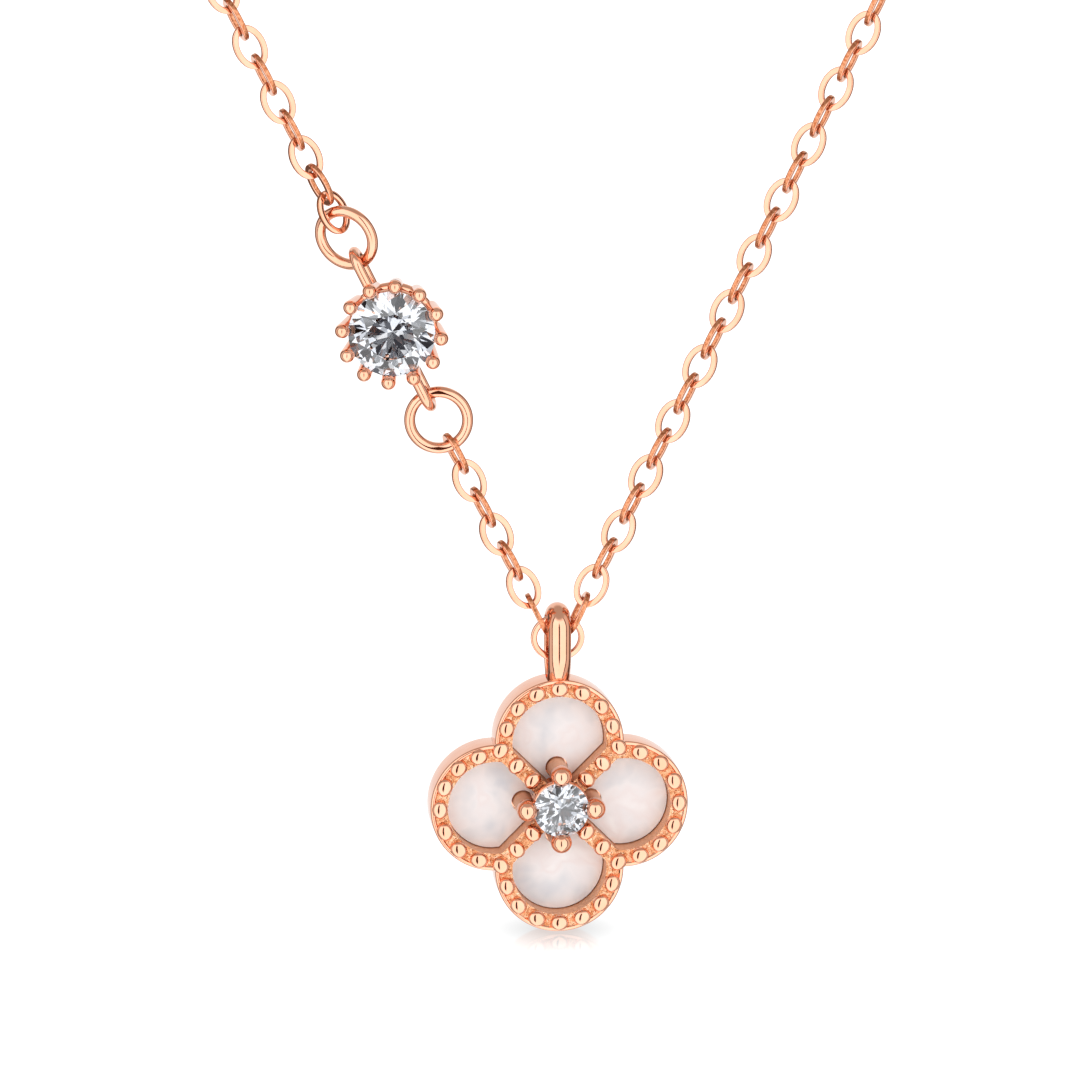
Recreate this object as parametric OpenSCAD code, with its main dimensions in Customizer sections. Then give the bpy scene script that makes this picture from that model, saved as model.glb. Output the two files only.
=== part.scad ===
// A flower pendant necklace: a four-petal pendant with mother-of-pearl inlays and a small centre stone, on
// a fine cable chain that has a stone in a crown of prongs on its left arm. The loop has the form it takes
// round a neck. The origin is on the inner side of the clasp at the nape, +Z is up and the flower faces -Y.

/* [Flower] */
// Radius of each petal, and its centre's distance from the flower's centre
petal_r = 2.64; // [2.5:0.02:2.8]
// Width of the beaded rim round each petal
rim_w = 0.71; // [0.66:0.01:0.76]
// Width of the two beaded bars that cross at the centre
bar_w = 0.635; // [0.55:0.01:0.7]
// Thickness of the frame from back to rim
frame_t = 1.45; // [1.35:0.05:1.5]
// Thickness of the back plate under the inlays
plate_t = 0.2; // [0.15:0.01:0.3]
// Thickness of a mother-of-pearl inlay
shell_t = 0.22; // [0.18:0.01:0.32]
// Radius of a bead on the rim
bead_r = 0.32; // [0.28:0.01:0.33]
// How far the front of a bead stands above the rim
bead_rise = 0.2; // [0.15:0.01:0.22]

/* [Centre setting] */
// Diameter of the centre stone
centre_d = 2.25; // [2.2:0.05:2.3]
// Height of its girdle above the back of the frame
centre_girdle = 2.05; // [2.05:0.05:2.2]
// Diameter of a prong
prong_d = 0.86; // [0.8:0.02:0.88]
// Distance from the centre to a prong's axis
prong_ring = 1.39; // [1.37:0.01:1.41]

/* [Bail] */
// Width of the bail's half-round wire
bail_width = 0.96; // [0.88:0.01:0.97]
// Thickness of that wire
bail_wire = 0.45; // [0.4:0.01:0.45]
// Half the inner distance between its front and back
bail_inner = 0.62; // [0.62:0.01:0.7]
// Height of the bail's outer top above the flower's centre
bail_top = 8.35; // [8.3:0.05:8.5]

/* [Chain] */
// Outer length of a link
link_l = 1.89; // [1.88:0.005:1.9]
// Outer width of a link
link_w = 1.34; // [1.3:0.01:1.4]
// Width of a link's flattened wire
wire_w = 0.255; // [0.25:0.005:0.255]
// Thickness of a link's flattened wire
wire_t = 0.22; // [0.2:0.01:0.23]
// Distance between the centres of two links
pitch = 1.25; // [1.24:0.005:1.26]
// Outer length of the centre link that the bail hangs on
centre_link_l = 2.2; // [2.19:0.01:2.2]
// Outer height of the centre link
centre_link_h = 1.95; // [1.93:0.01:1.97]
// Links above the station that are modelled one by one
left_links = 10; // [8:1:12]
// Links on the right arm that are modelled one by one
right_links = 26; // [24:1:30]

/* [Station] */
// Diameter of the station's stone
station_d = 3.5; // [3.45:0.05:3.55]
// Number of prongs round it
station_prongs = 12; // [12:1:12]
// Distance from its centre to the axis of a prong's round head
head_ring = 2; // [1.98:0.01:2.05]
// Radius of a prong's round head
head_r = 0.29; // [0.26:0.01:0.3]
// Distance from its centre to the outer end of a soldered loop
loop_reach = 3.75; // [3.7:0.05:3.85]
// Outer diameter of a jump ring
jump_d = 2.8; // [2.75:0.05:2.85]
// Wire diameter of a jump ring
jump_wire = 0.46; // [0.42:0.02:0.46]

/* [Loop round the neck] */
// Radius of the loop seen from above
neck_r = 53.5; // [50:0.5:58]
// How far the front of the loop lies below the nape
drop = 101; // [95:1:130]
// How far each arm runs sideways for 1 mm upwards at the front
front_slope = 0.491; // [0.47:0.001:0.52]

/* [Clasp] */
// Outer length of the clasp's oval
clasp_l = 7; // [7:0.5:8]
// Outer height of the clasp's oval
clasp_h = 4; // [3.8:0.1:4.4]
// Wire diameter of the clasp
clasp_wire = 0.9; // [0.8:0.05:0.9]

/* [Hidden] */
gold = "#e8b496";
pearl = "#efe9e8";
clear = "#d6dde4";

// Wire of the station's loops
loop_wire = 0.43;

// Clearances between pieces that lie in each other
seat_gap = 0.03;
inlay_gap = 0.03;
bail_gap = 0.03;

// Sides of a link, of its wire and of the tube that stands for the hidden chain
link_sides = 12;
wire_sides = 6;
tube_sides = 8;
tube_rings = 40;
tube_d = 1.3;

// Points of the arms: the chain leaves the centre link at arm_x from its centre and arm_z above it
arm_x = 0.48;
arm_z = 0.265;
front_y = -2 * neck_r + clasp_wire / 2;
centre_z = -drop - arm_z;

// Turn of the links about the arm, towards the inside of the V
left_roll = 15;
right_roll = 29;
station_roll = -9;
lower_ring_roll = -7;
upper_ring_roll = -35;
last_link_roll = 32;
roll_links = 3;
bail_roll_links = 1.5;

// Places along the left arm, measured from where it leaves the centre link
tip = link_l / 2 - wire_w / 2;
jump_mid = jump_d / 2 - jump_wire / 2;
ring_play = 0.06;
upper_jump_to_link = 1.18;
jump_to_link = tip + jump_mid - wire_w / 2 - jump_wire / 2 - ring_play;
station_to_jump = loop_reach + jump_mid - jump_wire / 2 - loop_wire - ring_play;
lower_links = 7;
lower_ring_s = tip + (lower_links - 1) * pitch + jump_to_link;
station_s = lower_ring_s + station_to_jump;
upper_ring_s = station_s + station_to_jump;
left_start_s = upper_ring_s + upper_jump_to_link;

// Pendant: its height under the centre link and its depth, which puts its weight under the bail
bail_inner_top = centre_z + centre_link_h / 2 + bail_gap;
flower_z = bail_inner_top + bail_wire - bail_top;
flower_back_y = front_y + frame_t / 2;

// The path of an arm. Its angle round the neck grows so that the arm is straight at the front, and the loop
// seen from above is a circle flattened at the front.
first_turn_rate = front_slope * 3 * drop / neck_r;
function arm_angle(t) = 180 / PI * (first_turn_rate * (t - t * t) + PI * pow(t, 3));
function arm_turn_rate(t) = first_turn_rate * (1 - 2 * t) + 3 * PI * t * t;
function side_speed(t) = neck_r * cos(arm_angle(t)) * arm_turn_rate(t);
function back_speed(t) =
    3 * neck_r * pow(sin(arm_angle(t) / 2), 2) * cos(arm_angle(t) / 2) * arm_turn_rate(t);
function up_speed(t) = 3 * drop * pow(1 - t, 2);

// Length of an arm and its inverse
arm_steps = 240;
function speed(t) = norm([side_speed(t), back_speed(t), up_speed(t)]);
arm_table = [
    for (i = 0, length = 0; i <= arm_steps;
        length = length + (speed(i / arm_steps) + speed((i + 1) / arm_steps)) / 2 / arm_steps, i = i + 1)
        [length, i / arm_steps]
];
arm_length = arm_table[arm_steps][0];
function arm_t(s) = lookup(s, arm_table);

// side is -1 on the left arm and 1 on the right
function arm_point(side, s) = let(t = arm_t(s)) [
    side * (arm_x + neck_r * sin(arm_angle(t))),
    front_y + 2 * neck_r * pow(sin(arm_angle(t) / 2), 3),
    -drop * pow(1 - t, 3)
];
function arm_tangent(side, s) =
    let(t = arm_t(s))
    [side * side_speed(t), back_speed(t), up_speed(t)] / speed(t);
function outward(side, s) =
    let(t = arm_t(s))
    [side * back_speed(t), -side_speed(t), 0] / norm([back_speed(t), side_speed(t)]);

// A place on an arm: origin, sideways, along and normal. The normal turns inwards by roll.
function arm_frame(side, s, roll) =
    let(
        along = arm_tangent(side, s),
        out = outward(side, s),
        normal = out * cos(roll) - side * cross(along, out) * sin(roll)
    )
    [arm_point(side, s), cross(along, normal), along, normal];

function in_frame(f, p) = f[0] + p[0] * f[1] + p[1] * f[2] + p[2] * f[3];

module place(f) {
    multmatrix([
        [f[1][0], f[2][0], f[3][0], f[0][0]],
        [f[1][1], f[2][1], f[3][1], f[0][1]],
        [f[1][2], f[2][2], f[3][2], f[0][2]],
        [0, 0, 0, 1]
    ])
        children();
}

// Points of one oval link in its frame, wire_sides points at each of link_sides places
function link_points(f, l, w) =
    let(b = l / 2 - wire_w / 2, a = w / 2 - wire_w / 2)
    [
        for (i = [0:link_sides - 1], j = [0:wire_sides - 1])
            let(
                u = 360 * i / link_sides,
                v = 360 * j / wire_sides,
                n = [b * cos(u), a * sin(u)] / norm([b * cos(u), a * sin(u)]),
                r = wire_w / 2 * cos(v),
                z = wire_t / 2 / sin(60) * sin(v)
            )
            in_frame(f, [a * cos(u) + r * n[0], b * sin(u) + r * n[1], z])
    ];

// Two triangles for each quad of a grid that closes both ways, starting at point number first
function ring_faces(first, rows, columns) = [
    for (i = [0:rows - 1], j = [0:columns - 1])
        let(
            a = first + i * columns + j,
            b = first + ((i + 1) % rows) * columns + j,
            c = first + ((i + 1) % rows) * columns + (j + 1) % columns,
            d = first + i * columns + (j + 1) % columns
        )
        each [[a, c, b], [a, d, c]]
];

// All the links of a list of [frame, length, width]
module links(list) {
    per_link = link_sides * wire_sides;
    polyhedron(
        points = [for (k = list) each link_points(k[0], k[1], k[2])],
        faces = [for (i = [0:len(list) - 1]) each ring_faces(i * per_link, link_sides, wire_sides)],
        convexity = 10
    );
}

// Every second link stands edge-on to the one before it
function link_row(side, start, count, first_turn, rolls) = [
    for (k = [0:count - 1])
        let(turn = k % 2 == 0 ? first_turn : 90 - first_turn)
        [arm_frame(side, start + k * pitch, rolls[k] + turn), link_l, link_w]
];

// The roll grows from none beside the bail, which it would touch, over bail_roll_links links
function rolls_from_bail(roll, count) = [for (k = [0:count - 1]) roll * min(1, k / bail_roll_links)];

// The tube that stands for the hidden links between two places on an arm
module chain_tube(side, from, to) {
    rings = [for (i = [0:tube_rings - 1]) arm_frame(side, from + (to - from) * i / (tube_rings - 1), 0)];
    ends = [0, (tube_rings - 1) * tube_sides];
    polyhedron(
        points = [
            for (f = rings, j = [0:tube_sides - 1])
                let(v = 360 * (j + 0.5) / tube_sides)
                in_frame(f, [tube_d / 2 * cos(v), 0, tube_d / 2 * sin(v)])
        ],
        faces = [
            for (i = [0:tube_rings - 2], j = [0:tube_sides - 1])
                let(a = i * tube_sides + j, d = i * tube_sides + (j + 1) % tube_sides)
                each [[a, a + tube_sides, d + tube_sides], [a, d + tube_sides, d]],
            for (j = [1:tube_sides - 2]) each [
                [ends[0], ends[0] + j, ends[0] + j + 1],
                [ends[1], ends[1] + j + 1, ends[1] + j]
            ]
        ],
        convexity = 10
    );
}

// Round brilliant with its girdle's middle at z = 0: an eight-sided table, eight stars, eight kites, sixteen
// upper and sixteen lower girdle facets and eight pavilion mains
table_share = 0.56;
crown_share = 0.15;
girdle_share = 0.03;
pavilion_share = 0.43;
star_share = 0.55;
low_share = 0.22;
function polar(r, a, z) = [r * cos(a), r * sin(a), z];

module brilliant(d) {
    r = d / 2;
    table_r = table_share * r;
    girdle_z = girdle_share * d / 2;
    table_z = girdle_z + crown_share * d;
    culet_z = -girdle_z - pavilion_share * d;
    flat = table_r * cos(22.5);
    star_r = flat + star_share * (r - flat);
    star_z = table_z - (star_r * cos(22.5) - table_r) / (r - table_r) * (table_z - girdle_z);
    low_r = low_share * r;
    low_z = culet_z + low_r * cos(22.5) / r * (-girdle_z - culet_z);
    points = [
        for (k = [0:7]) polar(table_r, 45 * k, table_z),
        for (k = [0:7]) polar(star_r, 45 * k + 22.5, star_z),
        for (k = [0:15]) polar(r, 22.5 * k, girdle_z),
        for (k = [0:15]) polar(r, 22.5 * k, -girdle_z),
        for (k = [0:7]) polar(low_r, 45 * k + 22.5, low_z),
        [0, 0, culet_z]
    ];
    star = 8;
    upper = 16;
    lower = 32;
    low = 48;
    culet = 56;
    faces = [
        for (k = [1:6]) [0, k + 1, k],
        for (k = [0:7]) let(n = (k + 1) % 8, p = (k + 7) % 8, g = 2 * k) each [
            [k, n, star + k],
            [k, star + k, upper + g],
            [k, upper + g, star + p],
            [star + k, upper + g + 1, upper + g],
            [star + k, upper + (g + 2) % 16, upper + g + 1],
            [low + k, lower + g, lower + g + 1],
            [low + k, lower + g + 1, lower + (g + 2) % 16],
            [culet, lower + g, low + k],
            [culet, low + p, lower + g]
        ],
        for (k = [0:15]) let(n = (k + 1) % 16) each [
            [upper + k, upper + n, lower + n],
            [upper + k, lower + n, lower + k]
        ]
    ];
    polyhedron(points = points, faces = faces, convexity = 2);
}

// The turned shape that a setting leaves free for its stone
module stone_seat(d) {
    r = d / 2;
    girdle_z = girdle_share * d / 2;
    rotate_extrude($fn = 64)
        polygon([
            [0, -girdle_z - pavilion_share * d - 2 * seat_gap],
            [r + seat_gap, -girdle_z - seat_gap],
            [r + seat_gap, girdle_z + seat_gap],
            [table_share * r + seat_gap, girdle_z + crown_share * d + seat_gap],
            [0, girdle_z + crown_share * d + seat_gap]
        ]);
}

module torus(mid_r, wire_d) {
    rotate_extrude($fn = 64)
        translate([mid_r, 0])
            circle(d = wire_d, $fn = 32);
}

// A half ring of round wire in the XY plane, on the +Y side
module half_ring(mid_r, wire_d) {
    rotate_extrude(angle = 180, $fn = 64)
        translate([mid_r, 0])
            circle(d = wire_d, $fn = 32);
}

// The flower lies in its own frame: x right, y up, z towards the viewer, z = 0 at its back
module flower_place() {
    translate([0, flower_back_y, flower_z])
        rotate([90, 0, 0])
            children();
}

lip_r = 0.12;
module petal_half() {
    rotate([0, 0, -90])
        rotate_extrude(angle = 180, $fn = 96)
            union() {
                square([petal_r - lip_r, frame_t]);
                translate([0, lip_r]) square([petal_r, frame_t - 2 * lip_r]);
                translate([petal_r - lip_r, frame_t - lip_r]) circle(r = lip_r, $fn = 32);
                translate([petal_r - lip_r, lip_r]) circle(r = lip_r, $fn = 32);
            }
}

cell_r = petal_r - rim_w;
// The opening of one cell, in the petal towards +Y: a circle cut off by the edges of the two bars
module cell_outline(gap) {
    intersection() {
        translate([0, petal_r]) circle(r = cell_r - gap, $fn = 96);
        translate([0, (bar_w / 2 + gap) * sqrt(2)]) rotate([0, 0, 45]) square(4 * petal_r);
    }
}

bead_ring_r = 2.27;
beads_on_petal = 7;
bead_step = 24.3;
bead_z = frame_t + bead_rise - bead_r;
notch_bead = 3.42;
bar_beads = [2.49, 1.56];
module beads() {
    for (q = [0:3])
        rotate([0, 0, 90 * q]) {
            for (k = [0:beads_on_petal - 1])
                translate([0, petal_r, bead_z])
                    rotate([0, 0, (k - (beads_on_petal - 1) / 2) * bead_step])
                        translate([0, bead_ring_r, 0])
                            sphere(r = bead_r, $fn = 24);
            for (d = concat([notch_bead], bar_beads))
                rotate([0, 0, 45])
                    translate([0, d, bead_z])
                        sphere(r = bead_r, $fn = 24);
        }
}

gallery_mid = 1.02;
gallery_wire = 0.3;
gallery_z = centre_girdle - 0.3;
prong_z = centre_girdle + 0.4 - prong_d / 2;
module centre_setting() {
    for (q = [0:3])
        rotate([0, 0, 90 * q])
            translate([0, prong_ring, 0]) {
                translate([0, 0, plate_t / 2]) cylinder(h = prong_z - plate_t / 2, d = prong_d, $fn = 48);
                translate([0, 0, prong_z]) sphere(d = prong_d, $fn = 48);
            }
    translate([0, 0, gallery_z]) torus(gallery_mid, gallery_wire);
}

// The bail is a tall hoop of half-round wire, flat inside. Its two legs bend inwards and are soldered to the
// top of the rim.
bail_outer = bail_inner + bail_wire;
bail_mid_top = bail_top - bail_outer;
bend_r = 1.5;
bend_angle = 43;
bend_height = 1.07;
bend_start = 2 * petal_r + bend_height;
module bail_section(shift) {
    translate([shift, 0])
        intersection() {
            translate([bail_outer - bail_width / 2, 0]) circle(d = bail_width, $fn = 64);
            translate([bail_inner, -bail_width]) square([bail_outer, 2 * bail_width]);
        }
}

module bail() {
    translate([0, 0, flower_back_y - front_y])
        rotate([0, -90, 0]) {
            translate([0, bail_mid_top, 0]) rotate_extrude(angle = 180, $fn = 96) bail_section(0);
            for (turn = [0, 180])
                rotate([0, turn, 0]) {
                    translate([0, (bail_mid_top + bend_start) / 2, 0])
                        rotate([-90, 0, 0])
                            linear_extrude(height = bail_mid_top - bend_start, center = true)
                                bail_section(0);
                    translate([bail_inner - bend_r, bend_start, 0])
                        rotate_extrude(angle = -bend_angle, $fn = 96)
                            bail_section(bend_r - bail_inner);
                }
        }
}

module flower_frame() {
    color(gold)
        flower_place() {
            difference() {
                union() {
                    difference() {
                        union() {
                            translate([-petal_r, -petal_r, 0]) cube([2 * petal_r, 2 * petal_r, frame_t]);
                            for (q = [0:3])
                                rotate([0, 0, 90 * q])
                                    translate([petal_r, 0, 0])
                                        petal_half();
                            beads();
                        }
                        for (q = [0:3])
                            rotate([0, 0, 90 * q])
                                translate([0, 0, plate_t])
                                    linear_extrude(height = frame_t + 1)
                                        cell_outline(0);
                    }
                    centre_setting();
                }
                translate([0, 0, centre_girdle]) stone_seat(centre_d);
            }
            bail();
        }
}

shell_floor = plate_t + 0.02;
shell_inner = 1;
module shell(turn) {
    color(pearl)
        flower_place()
            rotate([0, 0, turn])
                translate([0, 0, shell_floor])
                    difference() {
                        linear_extrude(height = shell_t) cell_outline(inlay_gap);
                        translate([0, prong_ring, -1])
                            cylinder(h = shell_t + 2, d = prong_d + 2 * inlay_gap, $fn = 48);
                        translate([0, 0, -1]) cylinder(h = shell_t + 2, r = shell_inner, $fn = 48);
                    }
}

module shell_top() {
    shell(0);
}

module shell_left() {
    shell(90);
}

module shell_bottom() {
    shell(180);
}

module shell_right() {
    shell(270);
}

module centre_stone() {
    color(clear)
        flower_place()
            translate([0, 0, centre_girdle])
                rotate([0, 0, 11])
                    brilliant(centre_d);
}

// The station lies in its own frame: x sideways, y along the arm, z towards the viewer, z = 0 at its back
station_girdle = 1.6;
station_depth = 0.85;
head_z = 1.75;
base_ring = 1.55;
base_wire = 0.5;
foot_ring = 1.7;
shaft_d = 0.6;
seat_ring = 1.5;
seat_wire = 0.44;
loop_half = 0.6;
loop_start = 1.57;

module station_place() {
    place(arm_frame(-1, station_s, station_roll))
        translate([0, 0, -station_depth])
            children();
}

module station_prong() {
    lean = atan2(head_ring - foot_ring, head_z - base_wire / 2);
    translate([0, foot_ring, base_wire / 2])
        rotate([-lean, 0, 0])
            cylinder(h = norm([head_ring - foot_ring, head_z - base_wire / 2]), d = shaft_d, $fn = 32);
    translate([0, head_ring, head_z]) sphere(r = head_r, $fn = 32);
}

module station_loop() {
    end = loop_reach - loop_wire / 2 - loop_half;
    translate([0, 0, station_depth])
        rotate([0, -90, 0]) {
            translate([0, end, 0]) half_ring(loop_half, loop_wire);
            for (x = [-loop_half, loop_half])
                translate([x, loop_start, 0])
                    rotate([-90, 0, 0])
                        cylinder(h = end - loop_start, d = loop_wire, $fn = 32);
        }
}

module station_setting() {
    color(gold)
        station_place()
            difference() {
                union() {
                    translate([0, 0, base_wire / 2]) torus(base_ring, base_wire);
                    translate([0, 0, station_girdle - 0.5]) torus(seat_ring, seat_wire);
                    for (k = [0:station_prongs - 1])
                        rotate([0, 0, 360 * k / station_prongs])
                            station_prong();
                    for (turn = [0, 180])
                        rotate([0, 0, turn])
                            station_loop();
                }
                translate([0, 0, station_girdle]) stone_seat(station_d);
            }
}

module station_stone() {
    color(clear)
        station_place()
            translate([0, 0, station_girdle])
                rotate([0, 0, 8])
                    brilliant(station_d);
}

module lower_jump_ring() {
    color(gold)
        place(arm_frame(-1, lower_ring_s, lower_ring_roll))
            torus(jump_mid, jump_wire);
}

module upper_jump_ring() {
    color(gold)
        place(arm_frame(-1, upper_ring_s, upper_ring_roll))
            torus(jump_mid, jump_wire);
}

// The last links above the station turn back to the common roll over roll_links links
left_rolls = [
    for (k = [0:left_links - 1]) left_roll + (last_link_roll - left_roll) * max(0, 1 - k / roll_links)
];
module left_chain() {
    color(gold)
        links(link_row(-1, left_start_s, left_links, 0, left_rolls));
}

centre_frame = [[0, front_y, centre_z], [0, 0, -1], [1, 0, 0], [0, -1, 0]];
module main_chain() {
    color(gold)
        links(concat(
            link_row(-1, tip, lower_links, 90, rolls_from_bail(left_roll, lower_links)),
            [[centre_frame, centre_link_l, centre_link_h]],
            link_row(1, tip, right_links, 90, rolls_from_bail(right_roll, right_links))
        ));
}

// The hidden chain starts past the outer tip of the last link and ends at the clasp or its ring
tube_gap = 0.05;
end_ring_mid = 1.6;
end_ring_wire = 0.5;
eye_mid = 0.85;
eye_wire = 0.5;
clasp_play = 0.1;
eye_x = -clasp_l / 2 - eye_mid;
end_ring_x = clasp_l / 2 - clasp_wire - clasp_play - end_ring_wire / 2 + end_ring_mid;
left_end_s = arm_length - (-eye_x + eye_mid + eye_wire / 2 + tube_gap - arm_x);
right_end_s = arm_length - (end_ring_x + end_ring_mid + end_ring_wire / 2 + tube_gap - arm_x);

module left_back_chain() {
    color(gold)
        chain_tube(-1, left_start_s + (left_links - 1) * pitch + link_l / 2 + tube_gap, left_end_s);
}

module right_back_chain() {
    color(gold)
        chain_tube(1, tip + (right_links - 1) * pitch + link_l / 2 + tube_gap, right_end_s);
}

// The clasp is an oval of round wire with an eye for the left chain, flat against the nape
clasp_y = clasp_wire / 2;
module clasp() {
    straight = clasp_l / 2 - clasp_h / 2;
    mid = clasp_h / 2 - clasp_wire / 2;
    color(gold)
        translate([0, clasp_y, 0])
            rotate([90, 0, 0]) {
                for (side = [-1, 1]) {
                    translate([side * straight, 0, 0])
                        rotate([0, 0, -90 * side])
                            half_ring(mid, clasp_wire);
                    translate([-straight, side * mid, 0])
                        rotate([0, 90, 0])
                            cylinder(h = 2 * straight, d = clasp_wire, $fn = 48);
                }
                translate([eye_x, 0, 0]) torus(eye_mid, eye_wire);
            }
}

module end_ring() {
    color(gold)
        translate([end_ring_x, clasp_y, 0])
            torus(end_ring_mid, end_ring_wire);
}

flower_frame();
shell_top();
shell_left();
shell_bottom();
shell_right();
centre_stone();
station_setting();
station_stone();
lower_jump_ring();
upper_jump_ring();
left_chain();
main_chain();
left_back_chain();
right_back_chain();
clasp();
end_ring();
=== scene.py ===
"""A flower pendant necklace in rose-gold plate: the finish of every piece, a fine cable chain all round the
loop, and a pale studio with the camera in front of the flower. Shapes are worked out in millimetres."""
import math

import bmesh
import bpy
import numpy as np
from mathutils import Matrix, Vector


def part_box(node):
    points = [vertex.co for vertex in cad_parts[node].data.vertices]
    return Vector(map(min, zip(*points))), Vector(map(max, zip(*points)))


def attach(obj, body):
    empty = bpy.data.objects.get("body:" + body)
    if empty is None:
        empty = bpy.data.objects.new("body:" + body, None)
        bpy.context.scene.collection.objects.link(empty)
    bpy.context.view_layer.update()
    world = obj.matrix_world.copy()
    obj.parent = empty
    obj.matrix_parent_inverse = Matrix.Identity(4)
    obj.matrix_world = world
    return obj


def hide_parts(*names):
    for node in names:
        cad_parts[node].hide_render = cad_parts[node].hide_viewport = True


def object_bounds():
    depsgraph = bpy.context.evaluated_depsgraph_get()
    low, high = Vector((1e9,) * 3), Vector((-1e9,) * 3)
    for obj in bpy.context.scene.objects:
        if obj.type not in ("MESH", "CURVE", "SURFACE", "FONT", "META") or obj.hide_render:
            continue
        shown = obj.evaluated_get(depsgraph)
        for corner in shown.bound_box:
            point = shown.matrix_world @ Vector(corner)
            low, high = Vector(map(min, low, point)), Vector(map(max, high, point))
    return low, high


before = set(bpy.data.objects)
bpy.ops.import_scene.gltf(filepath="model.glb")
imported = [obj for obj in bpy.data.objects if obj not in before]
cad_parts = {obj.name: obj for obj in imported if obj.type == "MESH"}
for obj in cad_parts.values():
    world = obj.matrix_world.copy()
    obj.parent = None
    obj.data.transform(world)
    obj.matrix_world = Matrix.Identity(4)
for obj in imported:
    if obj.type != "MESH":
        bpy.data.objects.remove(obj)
cad_low, cad_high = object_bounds()
MM = 0.001

# Chain: links of flattened wire, and the path of the loop round the neck
LINK_LENGTH = 1.89
LINK_WIDTH = 1.34
WIRE_WIDTH = 0.255
WIRE_THICKNESS = 0.22
WIRE_FLATNESS = 0.4
# Where the links' edges begin round the wire: duller there, and painted darker and redder as shade
WIRE_EDGE = 0.5
PITCH = 1.25
CENTRE_LINK_LENGTH = 2.2
CENTRE_LINK_HEIGHT = 1.95
NECK_RADIUS = 53.5
DROP = 101
FRONT_SLOPE = 0.491
ARM_X = 0.48
ARM_Z = 0.265
CLASP_WIRE = 0.9
FRONT_Y = -2 * NECK_RADIUS + CLASP_WIRE / 2
CENTRE_Z = -DROP - ARM_Z
LEFT_LINKS = 10
LOWER_LINKS = 7
RIGHT_LINKS = 26
LEFT_ROLL = 15
RIGHT_ROLL = 29
LAST_LINK_ROLL = 32
ROLL_LINKS = 3
BAIL_ROLL_LINKS = 1.5
ROLL_FADE = 30

# Station on the left arm, with its loops and jump rings
STATION_STONE = 3.5
STATION_GIRDLE = 1.6
STATION_DEPTH = 0.85
STATION_PRONGS = 12
STATION_ROLL = -9
HEAD_RING = 2.0
HEAD_RADIUS = 0.29
HEAD_HEIGHT = 1.75
FOOT_RING = 1.7
SHAFT_WIRE = 0.6
BASE_RING = 1.55
BASE_WIRE = 0.5
SEAT_RING = 1.5
SEAT_WIRE = 0.44
SEAT_RING_DROP = 0.5
LOOP_REACH = 3.75
LOOP_WIRE = 0.43
LOOP_HALF = 0.6
LOOP_START = 1.57
JUMP_DIAMETER = 2.8
JUMP_WIRE = 0.46
LOWER_RING_ROLL = -7
UPPER_RING_ROLL = -35
RING_PLAY = 0.06
UPPER_RING_TO_LINK = 1.18

# Flower: four round petals, their rim and bars, the beads and the centre setting
PETAL_RADIUS = 2.64
RIM_WIDTH = 0.71
BAR_WIDTH = 0.635
FRAME_THICKNESS = 1.45
PLATE_THICKNESS = 0.2
SHELL_FLOOR = PLATE_THICKNESS + 0.02
LIP_WIDTH = 0.12
LIP_ROUND = 0.1
GROUND_DEPTH = 0.05
BEAD_ALONG = 0.38
BEAD_ACROSS = 0.325
BEAD_RISE = 0.2
BEAD_RING = 2.26
BEAD_FULLNESS = 0.76
BEAD_FOOT = -60
BEADS_ON_PETAL = 7
BEAD_STEP = 24.3
DIAGONAL_BEADS = (3.42, 2.49, 1.56)
CENTRE_STONE = 2.25
CENTRE_GIRDLE = 2.05
PRONG_DIAMETER = 0.86
PRONG_RING = 1.39
PRONG_TOP = 2.45
PRONG_NARROWING = 0.02
PRONG_NECK = 0.22
PRONG_SHOULDER = 0.18
GALLERY_RING = 1.02
GALLERY_WIRE = 0.3
GALLERY_DROP = 0.3
BAIL_WIDTH = 0.96
BAIL_WIRE = 0.45
BAIL_INNER = 0.62
BAIL_TOP = 8.35
BAIL_EDGE = 0.08
BAIL_CROWN_START = 12
BAIL_BEND = 1.5
BAIL_BEND_DEGREES = 43
BAIL_BEND_START = 2 * PETAL_RADIUS + 1.07
SEAT_GAP = 0.03

# Angles in degrees above which an edge stays sharp, on cast pieces and on wire, and where a round form ends
# before its pole
CAST_SHARP = 40
WIRE_SHARP = 80
POLE = 88

# Clasp: an oval of round wire with an eye, and the ring it closes on
CLASP_LENGTH = 7.0
CLASP_HEIGHT = 4.0
EYE_MID = 0.85
EYE_WIRE = 0.5
END_RING_MID = 1.6
END_RING_WIRE = 0.5
CLASP_PLAY = 0.1

# Round brilliant cut, as shares of its diameter or radius, and how far each stone is turned in its seat
TABLE_SHARE = 0.56
CROWN_SHARE = 0.15
GIRDLE_SHARE = 0.03
PAVILION_SHARE = 0.43
STAR_SHARE = 0.55
LOW_SHARE = 0.22
MAIN_FACETS = 8
BLANK_STEPS = 96
SAME_POINT = 1e-8
CENTRE_STONE_TURN = 11
STATION_STONE_TURN = 8

# How finely round forms are drawn: points around a form or across its wire, and rows along it
WIRE_AROUND = 96
WIRE_ACROSS = 24
NEAR_LINK_AROUND = 48
CENTRE_LINK_AROUND = 56
NEAR_ACROSS = 20
FAR_LINK_AROUND = 20
FAR_ACROSS = 10
PETAL_POINTS = 72
CELL_POINTS = 64
CELL_CORNER_POINTS = 8
LIP_STEPS = 7
BEAD_ROWS = 14
BEAD_AROUND = 32
DOME_ROWS = 10
PRONG_AROUND = 48
BAIL_CROWN_POINTS = 40
BAIL_EDGE_POINTS = 5
BAIL_BEND_ROWS = 12
BAIL_BOW_ROWS = 41
SHAFT_ROWS = 12
SHAFT_ACROSS = 20
HEAD_ROWS = 16
HEAD_AROUND = 32
LOOP_LEG_ROWS = 8
LOOP_BEND_ROWS = 28
CLASP_BOW_POINTS = 40

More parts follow.
